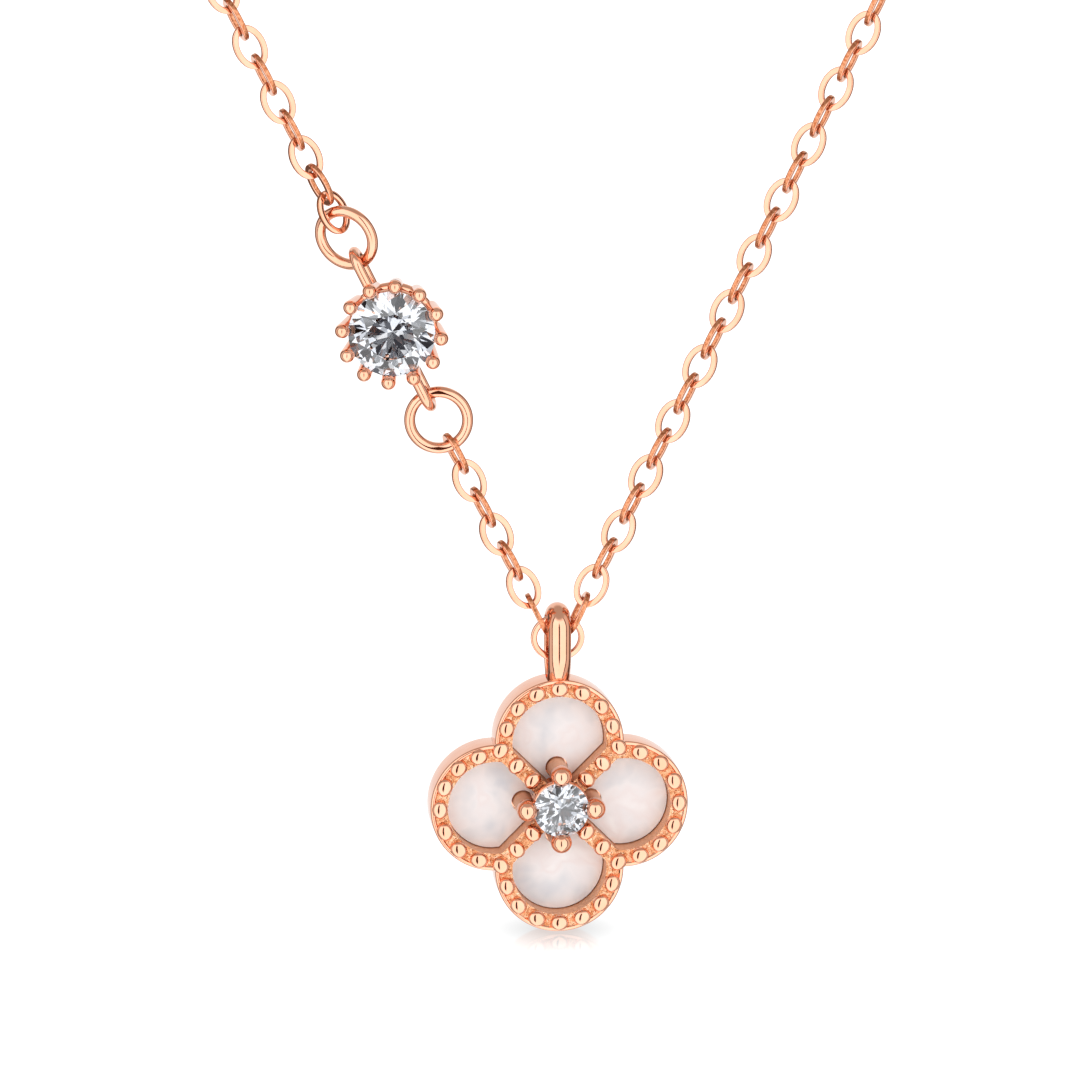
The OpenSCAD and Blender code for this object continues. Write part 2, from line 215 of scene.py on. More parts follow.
# Photograph: its scale at the flower, and where the flower's face lies from the picture's middle
MM_PER_PIXEL = 0.0407
PICTURE_PIXELS = 1080
FLOWER_RIGHT_PIXELS = 20.3
FLOWER_DOWN_PIXELS = 267.5
CAMERA_AZIMUTH = -7
CAMERA_ELEVATION = 12.5
CAMERA_DISTANCE = 350
SENSOR = 36
NEAR_CLIP = 10
FAR_CLIP = 10000

# Studio: the table's glow, painted dimmer as shade within TABLE_DIM of the flower's foot and full from
# TABLE_BRIGHT on, and the tent with its panels by their angle from the camera's side and its brightness in
# gloss and as light
TABLE_GAP = 0.05
TABLE_DIM = 0.8
TABLE_BRIGHT = 3.8
TABLE_FOOT_PAINTED_SHADE = 0.55
TABLE_LIGHT = 0.98
TABLE_HALF = 1500
TENT_GLOSS = 1.7
TENT_LIGHT = 1.5
TENT_PANELS = (
    (5, "#3A2014"), (8, "#FFFFFF"), (66, "#FFFFFF"), (70, "#3A2418"), (75, "#3A2418"), (80, "#C2BEBA"),
    (108, "#B8B2AE"), (116, "#4A3E38"), (136, "#5A4E48"), (150, "#CACACA"),
)
TENT_TOP = "#9A948F"
TOP_FROM = 0.6
TOP_WHOLE = 0.85
GAP_CLOSES = 8 / 180
GAP_CLOSES_FROM = 0.3
GAP_CLOSED = 0.75

# What the stones gather: folds of the tent by brightness, their number and turn, and the camera's shade
GEM_PANELS = ((0.0, "#E0E4EA"), (0.36, "#A4A8AE"), (0.5, "#E4E6E8"), (0.7, "#585C62"), (0.88, "#2A2C30"))
GEM_PANEL_DENSITY = 3.4
GEM_PANEL_TURN = 3.0
CAMERA_SHADE = ((0.9, "#FFFFFF"), (0.97, "#30343A"))

# The Mix node's colour sockets, which share their names with its other kinds of socket
MIX_FIRST = 6
MIX_SECOND = 7
MIX_RESULT = 2


def in_mm(corner):
    return np.array(corner) / MM


shell_top_high = in_mm(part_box("shell_top")[1])
shell_bottom_low = in_mm(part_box("shell_bottom")[0])
FLOWER_Z = (shell_top_high[2] + shell_bottom_low[2]) / 2
FLOWER_BACK_Y = shell_top_high[1] + SHELL_FLOOR


# Camera
def look_from(azimuth, elevation):
    """The direction from the object to a camera."""
    a = math.radians(azimuth)
    e = math.radians(elevation)
    return Vector((math.sin(a) * math.cos(e), -math.cos(a) * math.cos(e), math.sin(e)))


def add_camera():
    back = look_from(CAMERA_AZIMUTH, CAMERA_ELEVATION)
    turn = (-back).to_track_quat("-Z", "Y")
    right = turn @ Vector((1, 0, 0))
    up = turn @ Vector((0, 1, 0))
    face = Vector((0, FLOWER_BACK_Y - FRAME_THICKNESS - BEAD_RISE, FLOWER_Z))
    middle = face + MM_PER_PIXEL * (FLOWER_DOWN_PIXELS * up - FLOWER_RIGHT_PIXELS * right)
    data = bpy.data.cameras.new("camera")
    data.sensor_width = SENSOR
    data.lens = SENSOR * CAMERA_DISTANCE / (PICTURE_PIXELS * MM_PER_PIXEL)
    data.clip_start = NEAR_CLIP * MM
    data.clip_end = FAR_CLIP * MM
    camera = bpy.data.objects.new("camera", data)
    camera.location = (middle + CAMERA_DISTANCE * back) * MM
    camera.rotation_mode = "QUATERNION"
    camera.rotation_quaternion = turn
    bpy.context.scene.collection.objects.link(camera)
    bpy.context.scene.camera = camera
    return right


camera_right = add_camera()


# Materials
def linear(hex_colour):
    """An sRGB hex colour as the linear RGBA that Blender's sockets take."""
    channels = [int(hex_colour[i:i + 2], 16) / 255 for i in (1, 3, 5)]
    return tuple(c / 12.92 if c <= 0.04045 else ((c + 0.055) / 1.055) ** 2.4 for c in channels) + (1.0,)


def add(tree, kind, inputs=(), stops=(), **settings):
    """Adds a node. A value of inputs is a socket to link from or a constant; stops fill a colour ramp."""
    node = tree.nodes.new(kind)
    for name, value in settings.items():
        setattr(node, name, value)
    for name, value in dict(inputs).items():
        if isinstance(value, bpy.types.NodeSocket):
            tree.links.new(value, node.inputs[name])
        else:
            node.inputs[name].default_value = value
    for number, (place, colour) in enumerate(stops):
        elements = node.color_ramp.elements
        element = elements[number] if number < len(elements) else elements.new(1.0)
        element.position = place
        element.color = linear(colour)
    return node


def new_material(name):
    material = bpy.data.materials.new(name)
    material.use_nodes = True
    tree = material.node_tree
    tree.nodes.clear()
    return material, tree


def per_mm(size):
    """A texture scale that gives features of size millimetres on objects measured in metres."""
    return 1 / (size * MM)


ROSE_GOLD = "#F4BCA0"
ROSE_GOLD_DEEP = "#EFAF90"


def polished_rose_gold():
    """Silver castings and drawn wire, polished by barrel and wheel and plated: a mirror with faint waves."""
    material, tree = new_material("polished_rose_gold")
    place = add(tree, "ShaderNodeTexCoord").outputs["Object"]
    haze = add(tree, "ShaderNodeTexNoise", {"Vector": place, "Scale": per_mm(0.8), "Detail": 4.0})
    tint = add(tree, "ShaderNodeValToRGB", {"Fac": haze.outputs["Fac"]}, [
        (0.3, ROSE_GOLD_DEEP), (0.7, ROSE_GOLD),
    ])
    polish = add(tree, "ShaderNodeMapRange", {
        "Value": haze.outputs["Fac"], "From Min": 0.3, "From Max": 0.7, "To Min": 0.04, "To Max": 0.1,
    })
    wave = add(tree, "ShaderNodeTexNoise", {"Vector": place, "Scale": per_mm(0.35), "Detail": 2.0})
    bump = add(tree, "ShaderNodeBump", {
        "Height": wave.outputs["Fac"], "Strength": 0.25, "Distance": 0.012 * MM,
    })
    shader = add(tree, "ShaderNodeBsdfPrincipled", {
        "Base Color": tint.outputs["Color"], "Metallic": 1.0, "Roughness": polish.outputs["Result"],
        "Normal": bump.outputs["Normal"],
    })
    add(tree, "ShaderNodeOutputMaterial", {"Surface": shader.outputs["BSDF"]})
    return material


def satin_rose_gold_painted_shade():
    """Inner walls and shafts that no wheel reaches: barrel-polished plate, soft, and painted a darker tan as
    their shade.
    """
    material, tree = new_material("satin_rose_gold_painted_shade")
    place = add(tree, "ShaderNodeTexCoord").outputs["Object"]
    grain = add(tree, "ShaderNodeTexNoise", {"Vector": place, "Scale": per_mm(0.12), "Detail": 3.0})
    tint = add(tree, "ShaderNodeValToRGB", {"Fac": grain.outputs["Fac"]}, [
        (0.3, "#E2A67C"), (0.7, "#F0BA92"),
    ])
    shader = add(tree, "ShaderNodeBsdfPrincipled", {
        "Base Color": tint.outputs["Color"], "Metallic": 1.0, "Roughness": 0.42,
    })
    add(tree, "ShaderNodeOutputMaterial", {"Surface": shader.outputs["BSDF"]})
    return material


def cast_rose_gold():
    """The ground between the beads, left as cast and then plated: grains that glitter."""
    material, tree = new_material("cast_rose_gold")
    place = add(tree, "ShaderNodeTexCoord").outputs["Object"]
    grain = add(tree, "ShaderNodeTexVoronoi", {"Vector": place, "Scale": per_mm(0.085)})
    clumps = add(tree, "ShaderNodeTexNoise", {"Vector": place, "Scale": per_mm(0.17), "Detail": 4.0})
    tint = add(tree, "ShaderNodeValToRGB", {"Fac": clumps.outputs["Fac"]}, [
        (0.3, "#CC8454"), (0.5, "#E8AE84"), (0.7, "#FAD6B6"),
    ])
    coarse = add(tree, "ShaderNodeBump", {
        "Height": clumps.outputs["Fac"], "Strength": 1.0, "Distance": 0.16 * MM,
    })
    fine = add(tree, "ShaderNodeBump", {
        "Height": grain.outputs["Distance"], "Normal": coarse.outputs["Normal"],
        "Strength": 0.8, "Distance": 0.04 * MM,
    })
    shader = add(tree, "ShaderNodeBsdfPrincipled", {
        "Base Color": tint.outputs["Color"], "Metallic": 1.0, "Roughness": 0.24,
        "Normal": fine.outputs["Normal"],
    })
    add(tree, "ShaderNodeOutputMaterial", {"Surface": shader.outputs["BSDF"]})
    return material


def rose_gold_with_painted_edge_shade():
    """The edges of the links' rolled wire, left from drawing and then plated: duller than the faces, and
    painted darker and redder as shade.
    """
    material, tree = new_material("rose_gold_with_painted_edge_shade")
    place = add(tree, "ShaderNodeTexCoord").outputs["Object"]
    drag = add(tree, "ShaderNodeTexNoise", {"Vector": place, "Scale": per_mm(0.1), "Detail": 3.0})
    tint = add(tree, "ShaderNodeValToRGB", {"Fac": drag.outputs["Fac"]}, [
        (0.35, "#B4683F"), (0.65, "#E2A07A"),
    ])
    shader = add(tree, "ShaderNodeBsdfPrincipled", {
        "Base Color": tint.outputs["Color"], "Metallic": 1.0, "Roughness": 0.3,
    })
    add(tree, "ShaderNodeOutputMaterial", {"Surface": shader.outputs["BSDF"]})
    return material


def polished_mother_of_pearl():
    """Shell sawn across its layers and polished: white, pink and blue-grey clouds under a clear gloss."""
    material, tree = new_material("polished_mother_of_pearl")
    place = add(tree, "ShaderNodeTexCoord").outputs["Object"]
    drift = add(tree, "ShaderNodeTexNoise", {"Vector": place, "Scale": per_mm(2.4), "Detail": 2.0})
    drift_by = add(tree, "ShaderNodeVectorMath", {
        0: drift.outputs["Color"], "Scale": 1.6 * MM,
    }, operation="SCALE")
    warped = add(tree, "ShaderNodeVectorMath", {0: place, 1: drift_by.outputs["Vector"]}, operation="ADD")
    clouds = add(tree, "ShaderNodeTexNoise", {
        "Vector": warped.outputs["Vector"], "Scale": per_mm(1.7), "Detail": 3.0, "Roughness": 0.45,
    })
    tint = add(tree, "ShaderNodeValToRGB", {"Fac": clouds.outputs["Fac"]}, [
        (0.3, "#D5DBE3"), (0.42, "#E8EAEE"), (0.52, "#F4F3F5"), (0.6, "#F3EEEF"), (0.72, "#FCFCFD"),
    ])
    shader = add(tree, "ShaderNodeBsdfPrincipled", {
        "Base Color": tint.outputs["Color"], "Roughness": 0.28, "IOR": 1.56,
        "Coat Weight": 0.6, "Coat Roughness": 0.06,
    })
    add(tree, "ShaderNodeOutputMaterial", {"Surface": shader.outputs["BSDF"]})
    return material


def cut_cubic_zirconia():
    """Clear zirconia, cut and polished to flat facets, bright because of its high index of refraction."""
    material, tree = new_material("cut_cubic_zirconia")
    shader = add(tree, "ShaderNodeBsdfPrincipled", {
        "Base Color": linear("#FBFCFF"), "Roughness": 0.0, "IOR": 2.17, "Transmission Weight": 1.0,
    })
    add(tree, "ShaderNodeOutputMaterial", {"Surface": shader.outputs["BSDF"]})
    return material


def white_acrylic_painted_glow():
    """The table: glossy white acrylic that glows, painted dimmer as shade round the flower's foot, too
    bright beyond to mirror it.
    """
    material, tree = new_material("white_acrylic_painted_glow")
    place = add(tree, "ShaderNodeNewGeometry").outputs["Position"]
    foot = (0, (FLOWER_BACK_Y - FRAME_THICKNESS / 2) * MM, cad_low[2])
    from_foot = add(tree, "ShaderNodeVectorMath", {0: place, 1: foot}, operation="DISTANCE")
    # The glow, painted dimmer round the flower's foot as its shade and full beyond
    glow_with_painted_shade = add(tree, "ShaderNodeMapRange", {
        "Value": from_foot.outputs["Value"], "From Min": TABLE_DIM * MM, "From Max": TABLE_BRIGHT * MM,
        "To Min": TABLE_FOOT_PAINTED_SHADE, "To Max": TABLE_LIGHT,
    })
    shader = add(tree, "ShaderNodeBsdfPrincipled", {
        "Base Color": linear("#000000"), "Roughness": 0.1, "IOR": 1.4,
        "Emission Color": linear("#FFFFFF"), "Emission Strength": glow_with_painted_shade.outputs["Result"],
    })
    add(tree, "ShaderNodeOutputMaterial", {"Surface": shader.outputs["BSDF"]})
    return material


gold = polished_rose_gold()
ground = cast_rose_gold()
# The cells' walls and the prongs' shafts: satin, and painted a darker tan as shade
satin_and_shaded = satin_rose_gold_painted_shade()
# The links' edges: duller from drawing, and painted darker and redder as the shade between the links
drawn_and_shaded = rose_gold_with_painted_edge_shade()
pearl = polished_mother_of_pearl()
zirconia = cut_cubic_zirconia()


# Meshes
def grid_faces(rows, columns, closed_rows=True, first=0):
    """Quads between the rows of a grid whose columns close on themselves."""
    faces = []
    for i in range(rows if closed_rows else rows - 1):
        for j in range(columns):
            a = first + i * columns
            b = first + (i + 1) % rows * columns
            k = (j + 1) % columns
            faces.append((a + j, b + j, b + k, a + k))
    return faces


def new_object(name, points, faces):
    mesh = bpy.data.meshes.new(name)
    mesh.from_pydata((np.asarray(points) * MM).tolist(), [], faces)
    made = bmesh.new()
    made.from_mesh(mesh)
    bmesh.ops.recalc_face_normals(made, faces=made.faces)
    made.to_mesh(mesh)
    made.free()
    obj = bpy.data.objects.new(name, mesh)
    bpy.context.scene.collection.objects.link(obj)
    return obj


def joined(name, shells):
    """One object of several closed shells, each (points, faces)."""
    points = []
    faces = []
    for shell_points, shell_faces in shells:
        first = len(points)
        points.extend(np.asarray(shell_points).tolist())
        faces.extend(tuple(first + i for i in face) for face in shell_faces)
    return new_object(name, points, faces)


def loft(sections):
    """A closed shell through sections of equally many points, capped at both ends."""
    rows = len(sections)
    columns = len(sections[0])
    faces = grid_faces(rows, columns, closed_rows=False)
    faces.append(tuple(range(columns)))
    faces.append(tuple(range((rows - 1) * columns, rows * columns)))
    return np.vstack(sections), faces


def revolved(profile, steps):
    """A closed shell from (radius, height) pairs that start and end off the axis, turned about Z."""
    turns = np.linspace(0, 2 * math.pi, steps, endpoint=False)
    return loft([
        np.column_stack((r * np.cos(turns), r * np.sin(turns), np.full(steps, z))) for r, z in profile
    ])


def torus(mid, wire, around=WIRE_AROUND, across=WIRE_ACROSS):
    turns = np.linspace(0, 2 * math.pi, around, endpoint=False)
    rolls = np.linspace(0, 2 * math.pi, across, endpoint=False)
    u, v = np.meshgrid(turns, rolls, indexing="ij")
    r = mid + wire / 2 * np.cos(v)
    height = wire / 2 * np.sin(v)
    points = np.column_stack(((r * np.cos(u)).ravel(), (r * np.sin(u)).ravel(), height.ravel()))
    return points, grid_faces(around, across)


def swept(path, widths, across=WIRE_ACROSS, closed=False, side=(0, 0, 1)):
    """Round wire along a plane path; side is the plane's normal, and widths are its diameters."""
    path = np.asarray(path, float)
    if closed:
        along = np.roll(path, -1, axis=0) - np.roll(path, 1, axis=0)
    else:
        along = np.gradient(path, axis=0)
    along /= np.linalg.norm(along, axis=1)[:, None]
    binormal = np.asarray(side, float)
    normal = np.cross(binormal, along)
    rolls = np.linspace(0, 2 * math.pi, across, endpoint=False)
    rows = [
        p + w / 2 * (np.cos(rolls)[:, None] * n + np.sin(rolls)[:, None] * binormal)
        for p, w, n in zip(path, widths, normal)
    ]
    if closed:
        return np.vstack(rows), grid_faces(len(rows), across)
    return loft(rows)


def arc(centre, radius, start, end, steps):
    turns = np.radians(np.linspace(start, end, steps))
    return np.column_stack((centre[0] + radius * np.cos(turns), centre[1] + radius * np.sin(turns)))


def extruded(outline, low, high):
    return loft([np.column_stack((outline, np.full(len(outline), z))) for z in (low, high)])


def turned(shell, degrees):
    """A shell turned about Z."""
    points, faces = shell
    a = math.radians(degrees)
    matrix = np.array([[math.cos(a), math.sin(a), 0], [-math.sin(a), math.cos(a), 0], [0, 0, 1]])
    return np.asarray(points) @ matrix, faces


def moved(shell, offset):
    return np.asarray(shell[0]) + np.asarray(offset), shell[1]


def placed(shell, place):
    """A shell put into a place: origin, and the directions of its own X, Y and Z."""
    origin, x, y, z = place
    points = np.asarray(shell[0])
    return origin + points[:, :1] * x + points[:, 1:2] * y + points[:, 2:] * z, shell[1]


def turned_place(place, degrees, height):
    """A place turned about its own Z and raised along it."""
    origin, x, y, z = place
    a = math.radians(degrees)
    return origin + height * z, math.cos(a) * x + math.sin(a) * y, math.cos(a) * y - math.sin(a) * x, z


def combine(target, others, operation):
    """Adds the others to a solid or cuts them from it, and takes them away."""
    for other in others:
        modifier = target.modifiers.new("combine", "BOOLEAN")
        modifier.operation = operation
        modifier.solver = "MANIFOLD"
        modifier.object = other
    settle(target)
    for other in others:
        bpy.data.objects.remove(other)


def settle(obj):
    """Applies an object's modifiers."""
    evaluated = obj.evaluated_get(bpy.context.evaluated_depsgraph_get())
    mesh = bpy.data.meshes.new_from_object(evaluated)
    obj.modifiers.clear()
    obj.data = mesh


def smooth(obj, angle):
    """Shades smooth up to an angle, with flat faces kept flat."""
    obj.data.shade_smooth()
    obj.data.set_sharp_from_angle(angle=math.radians(angle))
    weighted = obj.modifiers.new("weighted", "WEIGHTED_NORMAL")
    weighted.keep_sharp = True
    settle(obj)


def dress(obj, name, body, slot, materials, *nodes):
    """Names a finished piece, gives it its materials and puts it in place of CAD nodes."""
    obj.name = name
    obj.data.materials.clear()
    for material in materials:
        obj.data.materials.append(material)
    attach(obj, body)
    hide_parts(*nodes)


# The path of the chain
FIRST_TURN_RATE = FRONT_SLOPE * 3 * DROP / NECK_RADIUS


def arm_angle(t):
    """How far an arm has come round the neck: straight at the front, then all the way round."""
    return FIRST_TURN_RATE * (t - t * t) + math.pi * t ** 3


def arm_velocity(t):
    turn = arm_angle(t)
    rate = FIRST_TURN_RATE * (1 - 2 * t) + 3 * math.pi * t * t
    return np.array([
        NECK_RADIUS * np.cos(turn) * rate,
        3 * NECK_RADIUS * np.sin(turn / 2) ** 2 * np.cos(turn / 2) * rate,
        3 * DROP * (1 - t) ** 2,
    ])


ARM_STEPS = 240
arm_times = np.linspace(0, 1, ARM_STEPS + 1)
arm_speeds = np.linalg.norm(arm_velocity(arm_times), axis=0)
arm_lengths = np.concatenate(([0], np.cumsum((arm_speeds[1:] + arm_speeds[:-1]) / 2 / ARM_STEPS)))


def arm_place(side, length, roll):
    """Origin and directions of a place on an arm. Side is -1 on the left; roll turns the normal inwards."""
    t = float(np.interp(length, arm_lengths, arm_times))
    turn = arm_angle(t)
    origin = np.array([
        side * (ARM_X + NECK_RADIUS * math.sin(turn)),
        FRONT_Y + 2 * NECK_RADIUS * math.sin(turn / 2) ** 3,
        -DROP * (1 - t) ** 3,
    ])
    velocity = arm_velocity(t)
    out = np.array([side * velocity[1], -velocity[0], 0])
    out /= np.linalg.norm(out)
    along = velocity * np.array([side, 1, 1])
    along /= np.linalg.norm(along)
    angle = math.radians(roll)
    normal = out * math.cos(angle) - side * np.cross(along, out) * math.sin(angle)
    return origin, np.cross(along, normal), along, normal


TIP = LINK_LENGTH / 2 - WIRE_WIDTH / 2
JUMP_MID = JUMP_DIAMETER / 2 - JUMP_WIRE / 2
JUMP_TO_LINK = TIP + JUMP_MID - WIRE_WIDTH / 2 - JUMP_WIRE / 2 - RING_PLAY
STATION_TO_JUMP = LOOP_REACH + JUMP_MID - JUMP_WIRE / 2 - LOOP_WIRE - RING_PLAY
LOWER_RING_AT = TIP + (LOWER_LINKS - 1) * PITCH + JUMP_TO_LINK
STATION_AT = LOWER_RING_AT + STATION_TO_JUMP
UPPER_RING_AT = STATION_AT + STATION_TO_JUMP
LEFT_START = UPPER_RING_AT + UPPER_RING_TO_LINK


# Chain
def link_shell(length, width, around, across):
    """An oval link of wire rolled flat, which is squarer the smaller WIRE_FLATNESS is."""
    turns = np.linspace(0, 2 * math.pi, around, endpoint=False)
    rolls = np.linspace(0, 2 * math.pi, across, endpoint=False) + math.pi / across
    a = width / 2 - WIRE_WIDTH / 2
    b = length / 2 - WIRE_WIDTH / 2
    normal = np.column_stack((b * np.cos(turns), a * np.sin(turns)))
    normal /= np.linalg.norm(normal, axis=1)[:, None]
    out = WIRE_WIDTH / 2 * np.sign(np.cos(rolls)) * np.abs(np.cos(rolls)) ** WIRE_FLATNESS
    front = WIRE_THICKNESS / 2 * np.sign(np.sin(rolls)) * np.abs(np.sin(rolls)) ** WIRE_FLATNESS
    x = (a * np.cos(turns) + out[None, :].T * normal[:, 0]).T
    y = (b * np.sin(turns) + out[None, :].T * normal[:, 1]).T
    z = np.broadcast_to(front, x.shape)
    return np.column_stack((x.ravel(), y.ravel(), z.ravel())), grid_faces(around, across)


NEAR_LINK = link_shell(LINK_LENGTH, LINK_WIDTH, NEAR_LINK_AROUND, NEAR_ACROSS)
FAR_LINK = link_shell(LINK_LENGTH, LINK_WIDTH, FAR_LINK_AROUND, FAR_ACROSS)
CENTRE_LINK = link_shell(CENTRE_LINK_LENGTH, CENTRE_LINK_HEIGHT, CENTRE_LINK_AROUND, NEAR_ACROSS)
CENTRE_PLACE = (
    np.array([0, FRONT_Y, CENTRE_Z]), np.array([0, 0, -1]), np.array([1, 0, 0]), np.array([0, -1, 0]),
)


def link_row(shell, side, start, pitch, rolls, edge_on_first):
    """Links along an arm, every second one edge-on to the one before it."""
    return [
        placed(shell, arm_place(side, start + k * pitch, roll + (90 if k % 2 != edge_on_first else 0)))
        for k, roll in enumerate(rolls)
    ]


def paint_shade_on_wire_edges(obj, across):
    """Gives the inner and outer edges of the links' wire the duller finish that drawing left, painted darker
    and redder as shade.
    """
    for face in obj.data.polygons:
        roll = math.radians((face.index % across + 1) * 360 / across)
        if abs(math.sin(roll)) < WIRE_EDGE:
            face.material_index = 1


def rolls_from_bail(roll, count):
    return [roll * min(1, k / BAIL_ROLL_LINKS) for k in range(count)]


def add_near_chains():
    left_rolls = [
        LEFT_ROLL + (LAST_LINK_ROLL - LEFT_ROLL) * max(0, 1 - k / ROLL_LINKS) for k in range(LEFT_LINKS)
    ]
    left = joined("left_links", link_row(NEAR_LINK, -1, LEFT_START, PITCH, left_rolls, 0))
    lower = link_row(NEAR_LINK, -1, TIP, PITCH, rolls_from_bail(LEFT_ROLL, LOWER_LINKS), 1)
    right = link_row(NEAR_LINK, 1, TIP, PITCH, rolls_from_bail(RIGHT_ROLL, RIGHT_LINKS), 1)
    main = joined("main_links", [*lower, placed(CENTRE_LINK, CENTRE_PLACE), *right])
    for obj, name, node in ((left, "left_links", "left_chain"), (main, "main_links", "main_chain")):
        smooth(obj, WIRE_SHARP)
        dress(obj, name, "chain", "rose_gold", [gold, drawn_and_shaded], node)
        paint_shade_on_wire_edges(obj, NEAR_ACROSS)


EYE_X = -CLASP_LENGTH / 2 - EYE_MID
END_RING_X = CLASP_LENGTH / 2 - CLASP_WIRE - CLASP_PLAY - END_RING_WIRE / 2 + END_RING_MID


def add_far_chain(side, name, node, last_done, far_x, roll, edge_on_first):
    """The links round the back, from the last near one to the piece at far_x from the nape."""
    last = arm_lengths[-1] - (far_x - ARM_X)
    count = round((last - last_done) / PITCH)
    if count % 2 == 1:
        count -= 1
    pitch = (last - last_done) / count
    rolls = [roll * max(0, 1 - k / ROLL_FADE) for k in range(count)]
    obj = joined(name, link_row(FAR_LINK, side, last_done + pitch, pitch, rolls, edge_on_first))
    smooth(obj, WIRE_SHARP)
    dress(obj, name, "chain", "rose_gold", [gold, drawn_and_shaded], node)
    paint_shade_on_wire_edges(obj, FAR_ACROSS)


def add_far_chains():
    held = LINK_LENGTH / 2 - WIRE_WIDTH - RING_PLAY
    left_far = -EYE_X + EYE_MID - EYE_WIRE / 2 + held
    right_far = END_RING_X + END_RING_MID - END_RING_WIRE / 2 + held
    left_done = LEFT_START + (LEFT_LINKS - 1) * PITCH
    right_done = TIP + (RIGHT_LINKS - 1) * PITCH
    add_far_chain(-1, "left_back_links", "left_back_chain", left_done, left_far, LEFT_ROLL, 0)
    add_far_chain(1, "right_back_links", "right_back_chain", right_done, right_far, RIGHT_ROLL, 1)


def add_jump_rings():
    rings = (
        ("lower_jump_ring", LOWER_RING_AT, LOWER_RING_ROLL),
        ("upper_jump_ring", UPPER_RING_AT, UPPER_RING_ROLL),
    )
    for node, at, roll in rings:
        ring = joined(node, [placed(torus(JUMP_MID, JUMP_WIRE), arm_place(-1, at, roll))])
        smooth(ring, WIRE_SHARP)
        dress(ring, "fine_" + node, "chain", "rose_gold", [gold], node)


# Stones
def polar(radius, degrees, height):
    a = math.radians(degrees)
    return np.array([radius * math.cos(a), radius * math.sin(a), height])


def facet_planes(diameter):
    """A point and an outward normal for each facet of a round brilliant, its girdle's middle at z = 0."""
    step = 360 / MAIN_FACETS
    half = step / 2
    r = diameter / 2
    girdle = GIRDLE_SHARE * diameter / 2
    table = girdle + CROWN_SHARE * diameter
    culet = -girdle - PAVILION_SHARE * diameter
    table_r = TABLE_SHARE * r
    flat = table_r * math.cos(math.radians(half))
    star_r = flat + STAR_SHARE * (r - flat)
    star_z = table - (star_r * math.cos(math.radians(half)) - table_r) / (r - table_r) * (table - girdle)
    low_r = LOW_SHARE * r
    low_z = culet + low_r * math.cos(math.radians(half)) / r * (-girdle - culet)
    corners = [[(0, 0, table), (1, 0, table), (0, 1, table)]]
    for k in range(MAIN_FACETS):
        a = step * k
        star = polar(star_r, a + half, star_z)
        low = polar(low_r, a + half, low_z)
        corners.append([polar(table_r, a, table), polar(table_r, a + step, table), star])
        corners.append([polar(table_r, a, table), polar(r, a, girdle), star])
        corners.append([(0, 0, culet), polar(r, a, -girdle), low])
        for b in (a, a + half):
            corners.append([star, polar(r, b, girdle), polar(r, b + half, girdle)])
            corners.append([low, polar(r, b, -girdle), polar(r, b + half, -girdle)])
    planes = []
    for a, b, c in (map(np.array, three) for three in corners):
        normal = np.cross(b - a, c - a)
        normal = normal / np.linalg.norm(normal)
        planes.append((a, normal if normal @ a > 0 else -normal))
    return planes


def brilliant(name, diameter, place):
    """A stone cut as a real one is: facet by facet from a round blank."""
    blank = revolved([(diameter / 2, -diameter), (diameter / 2, diameter)], BLANK_STEPS)
    stone = new_object(name, *blank)
    cut = bmesh.new()
    cut.from_mesh(stone.data)
    for point, normal in facet_planes(diameter):
        parts = cut.verts[:] + cut.edges[:] + cut.faces[:]
        found = bmesh.ops.bisect_plane(
            cut, geom=parts, plane_co=Vector(point) * MM, plane_no=Vector(normal),
            clear_outer=True, dist=SAME_POINT,
        )
        edges = [e for e in found["geom_cut"] if isinstance(e, bmesh.types.BMEdge)]
        if edges:
            bmesh.ops.contextual_create(cut, geom=edges)
    bmesh.ops.recalc_face_normals(cut, faces=cut.faces)
    cut.to_mesh(stone.data)
    cut.free()
    points = np.array([v.co for v in stone.data.vertices]) / MM
    points = placed((points, None), place)[0]
    stone.data.vertices.foreach_set("co", (points * MM).ravel())
    stone.data.update()
    stone.data.shade_flat()
    return stone


def stone_seat(diameter, height):
    """The turned shape that a setting leaves free for its stone."""
    r = diameter / 2
    girdle = GIRDLE_SHARE * diameter / 2
    top = girdle + CROWN_SHARE * diameter + SEAT_GAP
    axis = 0.01
    profile = [
        (axis, -girdle - PAVILION_SHARE * diameter - 2 * SEAT_GAP),
        (r + SEAT_GAP, -girdle - SEAT_GAP),
        (r + SEAT_GAP, girdle + SEAT_GAP),
        (TABLE_SHARE * r + SEAT_GAP, top),
        (axis, top),
    ]
    return moved(revolved(profile, BLANK_STEPS), (0, 0, height))


# Flower
FLOWER_PLACE = (
    np.array([0, FLOWER_BACK_Y, FLOWER_Z]), np.array([1, 0, 0]), np.array([0, 0, 1]), np.array([0, -1, 0]),
)


def petal_outline(radius):
    """The outline of four circles of one radius round the petals' centres, with a corner between two."""
    corner = (PETAL_RADIUS + math.sqrt(2 * radius ** 2 - PETAL_RADIUS ** 2)) / 2
    half = math.degrees(math.atan2(corner, corner - PETAL_RADIUS))
    quarters = []
    for q in range(4):
        side = arc((PETAL_RADIUS, 0), radius, -half, half, PETAL_POINTS)[:-1]
        a = math.radians(90 * q)
        quarters.append(side @ np.array([[math.cos(a), math.sin(a)], [-math.sin(a), math.cos(a)]]))
    return np.vstack(quarters)


